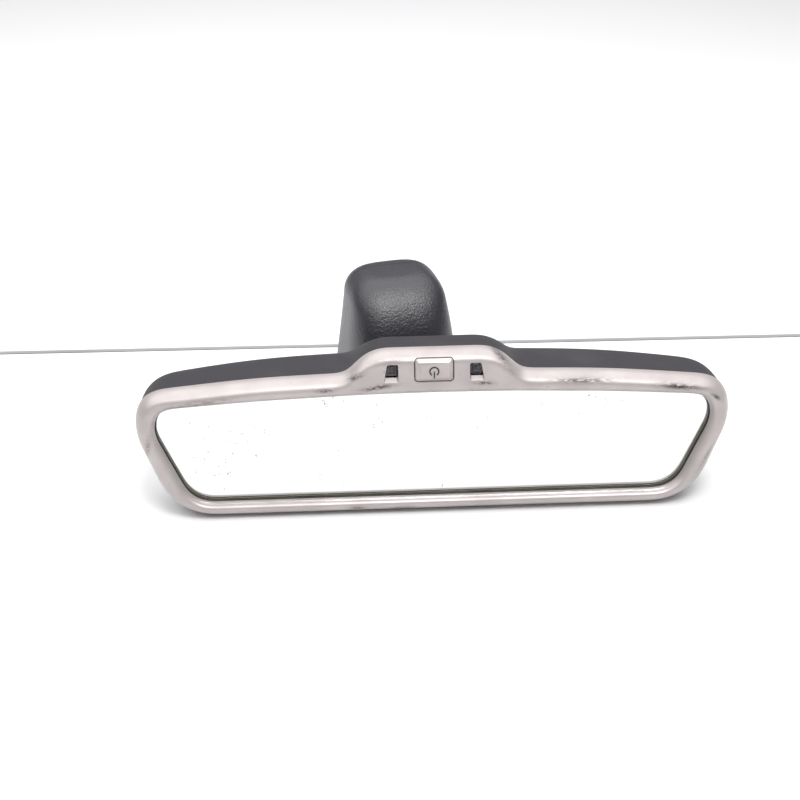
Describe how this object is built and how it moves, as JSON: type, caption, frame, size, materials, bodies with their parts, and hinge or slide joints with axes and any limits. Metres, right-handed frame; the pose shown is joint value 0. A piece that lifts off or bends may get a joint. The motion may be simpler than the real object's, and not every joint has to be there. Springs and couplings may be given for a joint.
{
  "type": "interior rearview mirror",
  "caption": "Wide auto-dimming rearview mirror head with a control chin, on a ball-jointed arm whose covered foot twists onto a windscreen button.",
  "frame": {"origin": "centre of the windscreen socket, on the seating face of the foot", "axes": "+X along the mirror head, +Z away from the windscreen out of the seating face, -Y towards the side the glass faces"},
  "size_m": [0.255, 0.1247, 0.0745],
  "materials": {
    "silver_paint": "silver paint on plastic, satin, rubbed at the edges",
    "button_silver": "silver paint on plastic, satin",
    "soft_black": "dark grey fine-grained plastic, soft matte",
    "cover_black": "black grained plastic, satin",
    "gasket_black": "black rubber",
    "pane": "clear glass",
    "mirror_coat": "coated mirror pane",
    "seal_resin": "cured resin",
    "copper": "plated copper alloy",
    "foam": "foam with adhesive faces",
    "inner_black": "black moulded plastic",
    "board_green": "glass-fibre board with solder resist",
    "chip_black": "moulded chip package",
    "zinc_screw": "zinc-plated steel",
    "nylon": "natural nylon",
    "dark_lens": "smoked lens",
    "led_white": "LED package",
    "gold_pin": "plated pins",
    "cast_metal": "die casting",
    "spring_steel": "spring steel",
    "ball_steel": "turned steel, greased"
  },
  "bodies": {
    "foot": {"foot_bracket": "cast_metal", "ball_stud": "ball_steel", "windscreen_spring": "spring_steel", "cover_carrier": "inner_black", "carrier_screws": "zinc_screw", "foot_cover": "cover_black", "rear_lid": "cover_black"},
    "swivel_shells": {"front_bearing_shell": "nylon", "rear_bearing_shell": "nylon"},
    "tilt_cage": {"clamp_cage": "spring_steel"},
    "head": {"bezel": "silver_paint", "rear_housing": "soft_black", "glass_gasket": "gasket_black", "front_glass": "pane", "gel_seal": "seal_resin", "mirror_glass": "mirror_coat", "bus_bars": "copper", "foam_pad": "foam", "carrier_plate": "inner_black", "circuit_board": "board_green", "board_chips": "chip_black", "board_screws": "zinc_screw", "tact_switch": "chip_black", "glare_sensor_lens": "dark_lens", "indicator_lens": "dark_lens", "glare_photodiode": "chip_black", "indicator_led": "led_white", "rear_sensor_lens": "dark_lens", "rear_photodiode": "chip_black", "connector_header": "inner_black", "connector_pins": "gold_pin", "socket_cap": "cast_metal", "socket_plate": "cast_metal", "socket_screws": "zinc_screw"},
    "button": {"power_button": "button_silver", "switch_plunger": "nylon"}
  },
  "joints": [
    {"name": "head_swivel", "type": "hinge", "parent": "foot", "child": "swivel_shells", "pos_m": [0.01268, -0.05967, 0.03649], "axis": [0, 0, 1], "range_deg": [-6, 30]},
    {"name": "head_tilt", "type": "hinge", "parent": "swivel_shells", "child": "tilt_cage", "pos_m": [0.01268, -0.05967, 0.03649], "axis": [-1, 0, 0], "range_deg": [0, 32]},
    {"name": "head_roll", "type": "hinge", "parent": "tilt_cage", "child": "head", "pos_m": [0.01268, -0.05967, 0.03649], "axis": [0, -0.9903, 0.1392], "range_deg": [-8, 8]},
    {"name": "button_press", "type": "slide", "parent": "head", "child": "button", "axis": [0, 0.9903, -0.1392], "range_m": [0, 0.0008], "stiffness_N_per_m": 600, "springref_m": -0.0006}
  ]
}
